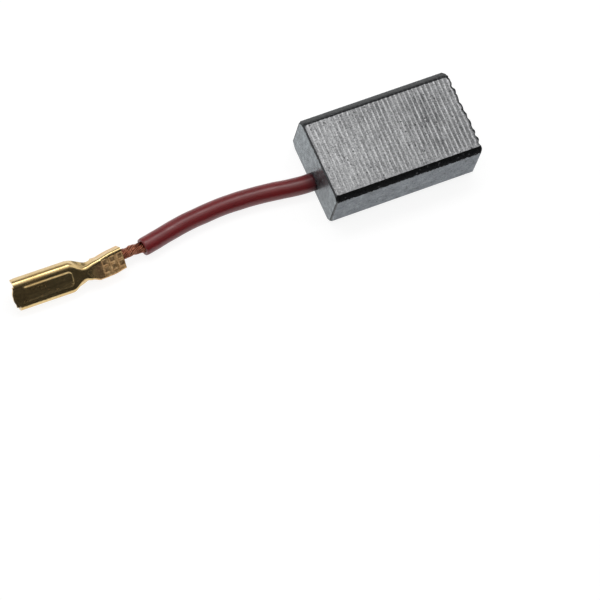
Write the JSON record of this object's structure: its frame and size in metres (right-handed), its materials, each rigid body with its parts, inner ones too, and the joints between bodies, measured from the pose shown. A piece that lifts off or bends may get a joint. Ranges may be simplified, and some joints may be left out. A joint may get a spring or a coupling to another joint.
{
  "type": "carbon brush",
  "caption": "Rectangular graphite motor brush with ribbed wide faces, a ridged contact end, and a sleeved copper lead that ends in a folded brass receptacle terminal.",
  "frame": {"origin": "centre of the carbon block's lower wide face, on the surface that the brush lies on", "axes": "+X along the block from the lead end to the contact end, +Y across its width, +Z across its thickness"},
  "size_m": [0.0519, 0.01, 0.006],
  "materials": {
    "graphite": "pressed and ground carbon graphite, dull grey with dark bevels",
    "copper": "stranded fine copper wire, slightly oxidised",
    "pvc_sleeve": "glossy translucent dark red insulating sleeve",
    "brass": "bright stamped brass sheet"
  },
  "bodies": {
    "root": {"carbon_block": "graphite", "shunt": "copper", "sleeve": "pvc_sleeve", "terminal": "brass"}
  },
  "joints": []
}
